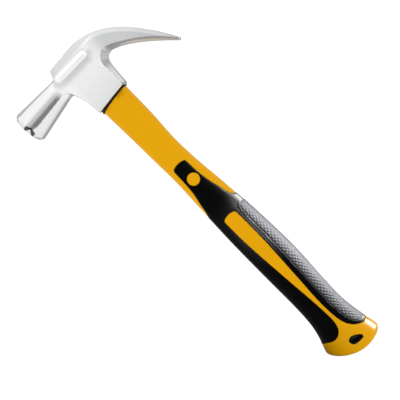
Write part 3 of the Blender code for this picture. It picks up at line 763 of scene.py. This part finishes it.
def butt_rings(inset):
    """Sections that round the butt's edge over and close its end."""
    rings = []
    for angle in np.radians(range(10, 90, 10)):
        drawn_in = BUTT_EDGE_RADIUS * (1 - math.cos(angle)) + inset
        rings.append(handle_ring(BUTT_END - BUTT_EDGE_RADIUS * (1 - math.sin(angle)), drawn_in, 1.0))
    last = handle_ring(BUTT_END, BUTT_EDGE_RADIUS + inset, 1.0)
    centre = last[:, 0].mean()
    for share in np.linspace(1.0, 0.1, 7):
        x = centre + (last[:, 0] - centre) * share
        down = BUTT_END - BUTT_CURVATURE * (x - BUTT_LOW_X) ** 2
        rings.append(np.stack([x, -down, last[:, 2] * share], 1))
    return rings


def unit_normals(round_way, down_way):
    normal = np.cross(round_way, down_way)
    return normal / np.maximum(np.linalg.norm(normal, axis=2, keepdims=True), 1e-12)


def displaced(rings, height):
    """Rings moved outwards by height(x, down, z) at each of their points."""
    grid = np.stack(rings)
    round_way = np.roll(grid, -1, 1) - np.roll(grid, 1, 1)
    down_way = np.gradient(grid, axis=0)
    normal = unit_normals(round_way, down_way)
    middle = grid.mean(1, keepdims=True)
    outward = np.sign((normal * (grid - middle)).sum((1, 2)))[:, None, None]
    return list(grid + normal * outward * height(grid[..., 0], -grid[..., 1], grid[..., 2])[..., None])


def grip_outline():
    stretches = (TONGUE_TOP, TONGUE_REAR, REAR_TOE, WINDOW_TOP, FRONT_TOE, TONGUE_FRONT)
    return on_handle([p for stretch in stretches for p in smooth_stretch(stretch)])


def circle_outline(centre, radius):
    turn = np.linspace(0, 2 * math.pi, CIRCLE_POINTS, endpoint=False)
    return on_handle([Vector(centre) + radius * Vector((math.cos(a), math.sin(a))) for a in turn])


def hang_hole_outline():
    closed = HANG_HOLE[-1:] + HANG_HOLE + HANG_HOLE[:2]
    return on_handle(smooth_stretch(closed)[CURVE_STEPS:-CURVE_STEPS])


def bowed(x, down):
    """A place on a cross-section, which is bowed near the butt."""
    return x, down - section_at(down)[2] * (x - BUTT_LOW_X) ** 2


def pad_outline():
    first, last = PAD_BORDER[0][0], PAD_BORDER[-1][0]
    downs, x = np.linspace(first, last, PAD_BORDER_POINTS), PAD_BORDER[-1][1]
    line = [bowed(interpolate(PAD_BORDER, down), down) for down in downs]
    end = [bowed(at, last) for at in np.linspace(x, x + PAD_END_WIDTH, PAD_END_POINTS)]
    return on_handle([(OUTSIDE, first), *line, *end[1:], (OUTSIDE, end[-1][1])])


def grip_distance(x, down):
    """How far inside the grip's outline a place is, negative outside it."""
    inside = -outline_distance(x, -down, grip_outline())
    from_button = np.hypot(x - BUTTON_CENTRE[0], down - BUTTON_CENTRE[1]) - BUTTON_RADIUS
    return np.minimum(inside, from_button)


def rolled_edge(distance):
    """The height lost towards an edge, rounding it over."""
    t = np.clip(distance / EDGE_ROLL, 0, 1)
    return EDGE_DROP * (1 - np.sqrt(1 - (1 - t) ** 2))


def jacket_height(x, down, z):
    distance = -grip_distance(x, down)
    hole = outline_distance(x, -down, hang_hole_outline())
    return -JACKET_EDGE_SHARE * rolled_edge(np.maximum(distance, 0)) - rolled_edge(np.maximum(hole, 0))


def grip_height(x, down, z):
    distance = np.maximum(grip_distance(x, down), 0)
    from_pad = outline_distance(x, -down, pad_outline())
    crossing = smoothstep(*BEAD_CROSSING, x / np.interp(down, *zip(*REAR_EDGE)))
    bead = BEAD_HEIGHT * (1 - crossing) * np.exp(-(((from_pad - BEAD_OFFSET) / BEAD_HALF_WIDTH) ** 2))
    return GRIP_PROUD - rolled_edge(distance) + bead


def recess(outline, depth, start, holes=()):
    """The space inside an outline, from outside the handle down to a depth in it."""
    block = plate("recess", outline, holes)
    combine(block, tube("recess_floor", envelope_rings(depth, start, RECESS_END)), "DIFFERENCE")
    return block


def build_jacket():
    jacket = tube("yellow_jacket", displaced(envelope_rings(), jacket_height))
    button = circle_outline(BUTTON_CENTRE, BUTTON_RADIUS)
    combine(jacket, recess(grown(grip_outline(), GAP / 2), GRIP_DEPTH, RECESS_START, [button]), "DIFFERENCE")
    combine(jacket, plate("hole", grown(hang_hole_outline(), GAP / 2)), "DIFFERENCE")
    combine(jacket, rod_bore(), "DIFFERENCE")
    return jacket


def rod_bore():
    """The core rod's shape, widened by the clearance round it."""
    bore = add_object("bore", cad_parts["core_rod"].data.copy())
    close(bore.data, weld=True)
    low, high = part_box("core_rod")
    grow = 1 + 2 * GAP / (high.z - low.z)
    bore.data.transform(HANDLE @ Matrix.Diagonal((grow, 1.0, grow, 1.0)) @ HANDLE.inverted())
    return bore


def build_grip():
    grip = tube("black_grip", displaced(envelope_rings(), grip_height))
    hole = circle_outline(BUTTON_CENTRE, BUTTON_RADIUS + GAP / 2)
    combine(grip, plate("region", grown(grip_outline(), -GAP / 2), holes=[hole]), "INTERSECT")
    combine(grip, tube("lining", envelope_rings(GRIP_DEPTH - GAP, RECESS_START, RECESS_END)), "DIFFERENCE")
    combine(grip, recess(grown(pad_outline(), GAP / 2), PAD_DEPTH + GAP, PAD_FLOOR_START), "DIFFERENCE")
    return grip


def pad_rows(first, last, rows):
    """Evenly spaced points across the handle's back, from one border to the other, row by row."""
    outer = []
    for down in np.linspace(first, last, rows + 1):
        front, rear, _ = section_at(down)
        half_width, half_thickness = (rear - front) / 2, interpolate(HALF_THICKNESS, down)
        share = max(0.02, (interpolate(PAD_BORDER, down) - (front + rear) / 2) / half_width)
        limit = math.acos(min(0.999, share ** (SECTION_POWER / 2)))
        angles = even_angles(half_width, half_thickness, SECTION_POWER, PAD_COLUMNS, -limit, limit)
        outer.append(handle_ring(down, angles=angles))
    return np.stack(outer)


def build_pad():
    first, last = PAD_BORDER[0][0], PAD_BORDER[-1][0]
    rows, columns = round((last - first) / PAD_ROW_STEP), PAD_COLUMNS + 1
    grid = pad_rows(first, last, rows)
    normal = unit_normals(np.gradient(grid, axis=1), np.gradient(grid, axis=0))
    normal *= np.sign(normal[rows // 2, PAD_COLUMNS // 2, 0])
    step = np.linalg.norm(np.diff(grid, axis=1), axis=2)
    run = np.concatenate([np.zeros((rows + 1, 1)), np.cumsum(step, 1)], 1)
    run -= run[:, PAD_COLUMNS // 2 : PAD_COLUMNS // 2 + 1]
    row_down = np.linspace(first, last, rows + 1)[:, None]
    edge = np.minimum(run - run[:, :1], run[:, -1:] - run)
    edge = np.minimum(edge, np.minimum(row_down - first, last - row_down))
    fade = smoothstep(*KNURL_FADE, edge)
    height = GRIP_PROUD + fade * KNURL_HEIGHT * knurl(run, -grid[..., 1]) - (1 - fade) * PAD_EDGE_DROP
    top, under = grid + normal * height[..., None], grid - normal * PAD_DEPTH
    number = np.arange(2 * (rows + 1) * columns).reshape(2, rows + 1, columns)
    around = number[:, :-1, :-1], number[:, :-1, 1:], number[:, 1:, 1:], number[:, 1:, :-1]
    faces = list(np.stack(around, -1).reshape(-1, 4))
    outside, inside = number
    rim = [*outside[0], *outside[1:, -1], *outside[-1, -2::-1], *outside[-2:0:-1, 0]]
    depth = inside[0, 0]
    faces += [(b, a, depth + a, depth + b) for a, b in zip(rim, rim[1:] + rim[:1])]
    vertices = np.concatenate([top.reshape(-1, 3), under.reshape(-1, 3)])
    return mesh_piece("knurled_pad", vertices, faces, HANDLE, sharp_angle=PAD_SHARP_ANGLE)


def knurl(run, down):
    """Flat-topped pyramids in a diamond lattice, from 0 in the grooves to 1."""
    a, b = run / KNURL_PITCH, down / (KNURL_PITCH * KNURL_STRETCH)
    pyramid = np.minimum(*(1 - np.abs(phase % 1.0 * 2 - 1) for phase in (a + b, a - b)))
    return np.minimum(1, KNURL_STEEPNESS * pyramid)


def build_liner():
    """A sleeve through the butt, flush with its two sides and waisted half way."""
    outer = hang_hole_outline()
    inner, waist = grown(outer, -LINER_WALL), grown(outer, -LINER_WALL - LINER_WAIST)
    heights = [side_height(p.x, -p.y) for p in outer]
    levels = np.linspace(-1, 1, LINER_LEVELS)
    rings = [[(p.x, p.y, h * level) for p, h in zip(outer, heights)] for level in levels]
    for level in levels[::-1]:
        lip = LINER_LIP * max(0.0, abs(level) - LINER_LIP_START) / (1 - LINER_LIP_START)
        ring = []
        for p, q, r, h in zip(outer, inner, waist, heights):
            place = q.lerp(r, 1 - level * level).lerp(p, lip)
            ring.append((place.x, place.y, h * level * LINER_INNER_LENGTH))
        rings.append(ring)
    return tube("hole_liner", rings, capped=False)


def build_seal():
    """The black bead under the skirt, with a rounded outer face."""
    angles = even_angles(*SEAL_HALF_SIZE, EYE_POWER, SEAL_POINTS)[:-1]
    rings = []

    def add_ring(half_width, half_height, level):
        x, z = oval(half_width, half_height, EYE_POWER, angles)
        x = x + SEAL_CENTRE
        top, bottom = skirt_line(x) + GAP, seal_bottom(x)
        rings.append(np.stack([x, -(top + (bottom - top) * level), z], 1))

    for level in np.linspace(0, 1, SEAL_LEVELS):
        bulge = SEAL_BULGE * (math.sin(math.pi * level) - 0.5)
        add_ring(SEAL_HALF_SIZE[0] + bulge, SEAL_HALF_SIZE[1] + bulge, level)
    add_ring(*SEAL_OPENING, 1.0)
    add_ring(*SEAL_OPENING, 0.0)
    return tube("neck_bead", rings, capped=False)


# ---- Materials ----


class Value:
    """A node's output that takes part in arithmetic, which adds maths nodes."""

    def __init__(self, nodes, socket):
        self.nodes, self.socket = nodes, socket

    def __add__(self, other):
        return self.nodes.math("ADD", self, other)

    def __sub__(self, other):
        return self.nodes.math("SUBTRACT", self, other)

    def __rsub__(self, other):
        return self.nodes.math("SUBTRACT", other, self)

    def __mul__(self, other):
        return self.nodes.math("MULTIPLY", self, other)

    def __abs__(self):
        return self.nodes.math("ABSOLUTE", self)


class Nodes:
    """A node tree, with short calls for its usual nodes."""

    def __init__(self, tree, place="Object"):
        self.tree = tree
        self.place = self.add("ShaderNodeTexCoord", place)

    def link(self, source, target):
        """Gives an input its value: a number, a vector or another node's output."""
        if isinstance(source, Value):
            self.tree.links.new(source.socket, target)
        else:
            target.default_value = source

    def add(self, kind, output, inputs=(), **settings):
        """A new node's output."""
        node = self.tree.nodes.new(kind)
        for name, setting in settings.items():
            setattr(node, name, setting)
        for socket, source in dict(inputs).items():
            self.link(source, node.inputs[socket])
        return Value(self, node.outputs[output])

    def noise(self, scale, detail, stretch=(1, 1, 1)):
        place = self.add("ShaderNodeMapping", 0, {"Vector": self.place, "Scale": stretch})
        return self.add("ShaderNodeTexNoise", "Fac", {"Vector": place, "Scale": scale, "Detail": detail})

    def math(self, operation, a, b=0.0):
        return self.add("ShaderNodeMath", 0, {0: a, 1: b}, operation=operation)

    def spread(self, value, low, high, to_low=0.0, to_high=1.0, smooth=False):
        """A value between two limits, as one between two others."""
        inputs = enumerate((value, low, high, to_low, to_high))
        kind = "SMOOTHSTEP" if smooth else "LINEAR"
        return self.add("ShaderNodeMapRange", 0, inputs, interpolation_type=kind)

    def mix(self, share, a, b):
        a, b = ((*c, 1.0) if isinstance(c, tuple) else c for c in (a, b))
        return self.add("ShaderNodeMix", 2, {"Factor": share, 6: a, 7: b}, data_type="RGBA")


class Looks(Nodes):
    """A material's node tree."""

    def __init__(self, name):
        self.material = bpy.data.materials.new(name)
        self.material.use_nodes = True
        super().__init__(self.material.node_tree)

    def set(self, **inputs):
        shader = self.tree.nodes["Principled BSDF"]
        for key, value in inputs.items():
            name = key.replace("_", " ").title().replace("Ior", "IOR")
            self.link((*value, 1.0) if isinstance(value, tuple) else value, shader.inputs[name])

    def bump(self, height, strength, distance):
        inputs = {"Height": height, "Strength": strength, "Distance": distance}
        self.set(normal=self.add("ShaderNodeBump", "Normal", inputs))


def steel_material():
    """Satin on the cheeks and the claw and polished on the poll, with a painted highlight along the rib and
    painted shade elsewhere.
    """
    m = Looks("steel_looks")
    x, y = (m.add("ShaderNodeSeparateXYZ", axis, {0: m.place}) * (1 / MM) for axis in "XY")
    grain = m.noise(900.0, 4.0)
    clouds = m.noise(60.0, 3.0)
    polish = m.spread(x, 34.0, 43.0, 1.0, 0.0, smooth=True)
    top = m.spread(y, 8.0, 10.5, smooth=True)
    rear = m.spread(x, 80.0, 96.0, smooth=True)
    mottle = (clouds + m.spread(grain, 0.35, 0.65)) * 0.5
    colour = m.mix(mottle, tuple(c - MOTTLE for c in CHEEK_COLOUR), tuple(c + MOTTLE for c in CHEEK_COLOUR))
    # Painted shade, darker towards the bottom of the cheek
    colour = m.mix(m.spread(y, -34.0, -12.0, 1.0, 0.0), colour, SKIRT_PAINTED_SHADE)
    # Painted shade along the top and over the claw
    colour = m.mix(m.math("MAXIMUM", top, rear), colour, CLAW_AND_FACE_PAINTED_SHADE)
    # Painted shade, darker towards the claw's tips
    colour = m.mix(m.spread(x, 105.0, 135.0), colour, TIP_PAINTED_SHADE)
    colour = m.mix(polish, colour, POLL_COLOUR)
    # The rib, with its painted highlight, and the painted shade of the hollow round it
    run, across, length = from_rib(x, y)
    beyond = m.math("MAXIMUM", m.math("MAXIMUM", run * -1.0, run - length), 0.0)
    reach = m.math("SQRT", beyond * beyond + across * across)
    far_side = m.spread(m.spread(across, -1.0, 1.0, 9.5, 6.0) - reach, 0.0, 4.0)
    colour = m.mix(m.spread(reach, 2.6, 3.4) * far_side, colour, HOLLOW_PAINTED_SHADE)
    colour = m.mix(m.spread(reach, 1.8, 3.6, 1.0, 0.0, smooth=True), colour, RIB_PAINTED_HIGHLIGHT)
    # A painted dark reflection on the rim's chamfer, as a V of two bands
    fold = abs(y - RIM_MARK_CENTRE)
    rim_band = abs(x - (RIM_MARK_DEPTH - fold * RIM_MARK_SLOPE)) - fold * RIM_MARK_SPREAD
    rim_reflection = m.spread(rim_band, 0.2, 1.0, 1.0, 0.0) * m.spread(fold, 4.2, 5.2, 1.0, 0.0)
    colour = m.mix(rim_reflection * m.spread(x, -0.2, 0.4), colour, RIM_PAINTED_REFLECTION)
    # Painted shade on the striking face
    colour = m.mix(m.spread(x, 0.05, 0.25, 1.0, 0.0), colour, CLAW_AND_FACE_PAINTED_SHADE)
    # Satin, polished on the poll and on what faces sideways
    satin, bright = m.spread(grain, 0.3, 0.7, 0.42, 0.52), m.spread(grain, 0.3, 0.7, 0.16, 0.20)
    rough = satin * (1.0 - polish) + bright * polish
    facing = m.add("ShaderNodeNewGeometry", "Normal")
    upright = abs(m.add("ShaderNodeSeparateXYZ", "Z", {0: facing}))
    rough = rough + m.spread(upright, 0.25, 0.75, 1.0, 0.0, smooth=True) * (WALL_ROUGHNESS - rough)
    m.set(base_color=colour, metallic=1.0, roughness=rough)
    m.bump(grain, 0.08, 0.0002)
    return m.material


def moulded(name, colours, roughness, specular, bump, grain=(1200.0, 4.0), clouds=None, relief=0.0001):
    """A plastic or rubber with a fine grain, whose colour drifts between two."""
    m = Looks(name)
    grain = m.noise(*grain)
    m.set(base_color=m.mix(m.noise(*clouds) if clouds else grain, *colours))
    m.set(roughness=m.spread(grain, 0.3, 0.7, *roughness), specular_ior_level=specular)
    m.bump(grain, bump, relief)
    return m.material


def yellow_material():
    colours = (0.77, 0.365, 0.0), (0.80, 0.385, 0.0)
    return moulded("yellow_looks", colours, (0.31, 0.32), 0.06, 0.001, (700.0, 3.0), (45.0, 3.0))


def rubber_material():
    colours = (0.0005,) * 3, (0.0015,) * 3
    return moulded("rubber_looks", colours, (0.40, 0.46), 0.03, 0.03, clouds=(70.0, 2.0))


def pad_material():
    colours = (0.016, 0.016, 0.018), (0.026, 0.026, 0.030)
    return moulded("pad_looks", colours, (0.56, 0.62), 0.14, 0.03)


def black_material(name, roughness):
    colours = (0.003,) * 3, (0.0045,) * 3
    return moulded(name, colours, (roughness, roughness + 0.1), 0.2, 0.1, (1200.0, 3.0))


def fibre_material():
    """Glass fibres along the rod, in clear resin."""
    colours, fibres = ((0.55, 0.50, 0.34), (0.85, 0.80, 0.62)), (900.0, 4.0, (1.0, 0.03, 1.0))
    return moulded("fibre_looks", colours, (0.35, 0.5), 0.5, 0.3, fibres, relief=0.0002)


def dress(piece, material, node):
    """Gives a new piece its material and its place in the frame."""
    piece.data.materials.clear()
    piece.data.materials.append(material)
    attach(piece, "root")
    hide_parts(node)


# ---- Studio ----


def add_camera():
    across, down = HANDLE.col[0].to_3d(), -HANDLE.col[1].to_3d()
    back = across * math.sin(CAMERA_TILT) + down * math.sin(CAMERA_PITCH)
    back.z = math.sqrt(1 - back.length_squared)
    right = across * math.sin(HANDLE_ANGLE) + down * math.cos(HANDLE_ANGLE)
    right = (right - back * right.dot(back)).normalized()
    up = back.cross(right)
    lens = bpy.data.cameras.new("studio_camera")
    lens.lens = lens.sensor_width * CAMERA_DISTANCE / CAMERA_WIDTH
    lens.clip_start = 0.05
    camera = add_object("studio_camera", lens)
    place = handle_point(*CAMERA_TARGET) + back * CAMERA_DISTANCE
    camera.matrix_world = Matrix.Translation(place) @ Matrix((right, up, back)).transposed().to_4x4()
    bpy.context.scene.camera = camera


def add_lamp(lamp, place, target, piece):
    """A lamp that faces a target in the handle's frame and lights only one piece."""
    made = add_object(lamp.name, lamp)
    made.location = handle_point(*place)
    made.rotation_euler = (made.location - handle_point(*target)).to_track_quat("Z", "Y").to_euler()
    lit = bpy.data.collections.new("lit_by_" + lamp.name)
    lit.objects.link(piece)
    made.light_linking.receiver_collection = lit
    return made


def add_panel(name, piece, place, target, size, power, colour):
    """A soft rectangular light that shows only in one piece's reflections."""
    lamp = bpy.data.lights.new(name, "AREA")
    lamp.shape = "RECTANGLE"
    lamp.size, lamp.size_y = size
    lamp.energy = power
    lamp.color = colour
    panel = add_lamp(lamp, place, target, piece)
    panel.visible_diffuse = False
    panel.visible_camera = False


def add_shoulder_spot(grip):
    """A spot on the grip between the window and the top of the pad."""
    lamp = bpy.data.lights.new("shoulder_spot", "SPOT")
    lamp.energy = SPOT_POWER
    lamp.spot_size = SPOT_CONE
    lamp.spot_blend = 1.0
    lamp.shadow_soft_size = SPOT_SIZE
    add_lamp(lamp, SPOT_PLACE, SPOT_TARGET, grip)


def add_staging(name, corners, colour, **looks):
    """A flat sheet that stays out of the reflections and is not part of the hammer."""
    mesh = bpy.data.meshes.new(name)
    mesh.from_pydata(corners, [], [(0, 1, 2, 3)])
    sheet = add_object(name, mesh)
    sheet.visible_glossy = False
    m = Looks(name + "_looks")
    m.set(base_color=colour, **looks)
    mesh.materials.append(m.material)
    return sheet


def add_floor():
    """A plain white floor that lights the hammer evenly."""
    low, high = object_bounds()
    middle, level = (Vector(low) + Vector(high)) / 2, low[2] - FLOOR_GAP
    ways = ((-1, -1), (1, -1), (1, 1), (-1, 1))
    corners = [(middle.x + FLOOR_HALF_SIZE * a, middle.y + FLOOR_HALF_SIZE * b, level) for a, b in ways]
    white = {"emission_color": WHITE, "emission_strength": FLOOR_GLOW}
    add_staging("floor", corners, (0.02, 0.02, 0.02), roughness=0.9, **white).visible_shadow = False


def add_card():
    """A black card beside the butt, out of the picture, that keeps light off its front corner."""
    left, right = (handle_point(CARD_X, down) for down in CARD_SPAN)
    corners = [(*left.xy, CARD_BOTTOM), (*right.xy, CARD_BOTTOM)]
    corners += [(*right.xy, CARD_TOP), (*left.xy, CARD_TOP)]
    add_staging("card", corners, (0.01, 0.01, 0.01), roughness=1.0).visible_camera = False


def add_world():
    """Even light for the colours, and a white tent with a dark top for the reflections."""
    world = bpy.data.worlds.new("studio")
    world.use_nodes = True
    world.cycles.sampling_method = "NONE"
    bpy.context.scene.world = world
    m = Nodes(world.node_tree, "Generated")
    total = REFLECTED_STRENGTH
    for direction, low, high, at_low, at_high in REFLECTED:
        towards = {0: m.place, 1: Vector(direction).normalized()}
        facing = m.add("ShaderNodeVectorMath", "Value", towards, operation="DOT_PRODUCT")
        total = m.math("MULTIPLY", total, m.spread(facing, low, high, at_low, at_high, smooth=True))
    glossy = m.add("ShaderNodeLightPath", "Is Glossy Ray")
    strength = m.add("ShaderNodeMix", 0, {"Factor": glossy, 2: DIFFUSE_STRENGTH, 3: total})
    sky = m.tree.nodes["Background"]
    m.link(strength, sky.inputs["Strength"])
    m.link((*WHITE, 1.0), sky.inputs["Color"])


# ---- The scene ----

HANDLE = handle_matrix()
RING_ANGLES = even_angles(*TYPICAL_SECTION, SECTION_POWER, SECTION_POINTS)[:-1]

jacket, grip, pad = build_jacket(), build_grip(), build_pad()
dress(build_head(), steel_material(), "head")
dress(jacket, yellow_material(), "handle_jacket")
dress(grip, rubber_material(), "grip_overmould")
dress(pad, pad_material(), "rear_pad")
# The liner's black is its own colour and also stands in as painted shade deep in the hole
dress(build_liner(), black_material("liner_looks", 0.5), "hang_hole_liner")
dress(build_seal(), black_material("seal_looks", 0.4), "neck_seal")
for node, material in (("core_rod", fibre_material()), ("eye_resin", black_material("resin_looks", 0.2))):
    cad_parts[node].data.materials.clear()
    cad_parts[node].data.materials.append(material)

add_floor()
add_card()
add_world()
for name, lit, *settings in PANELS:
    add_panel(name, {"jacket": jacket, "grip": grip, "pad": pad}[lit], *settings)
add_shoulder_spot(grip)
add_camera()
bpy.context.scene.view_settings.view_transform = "Standard"
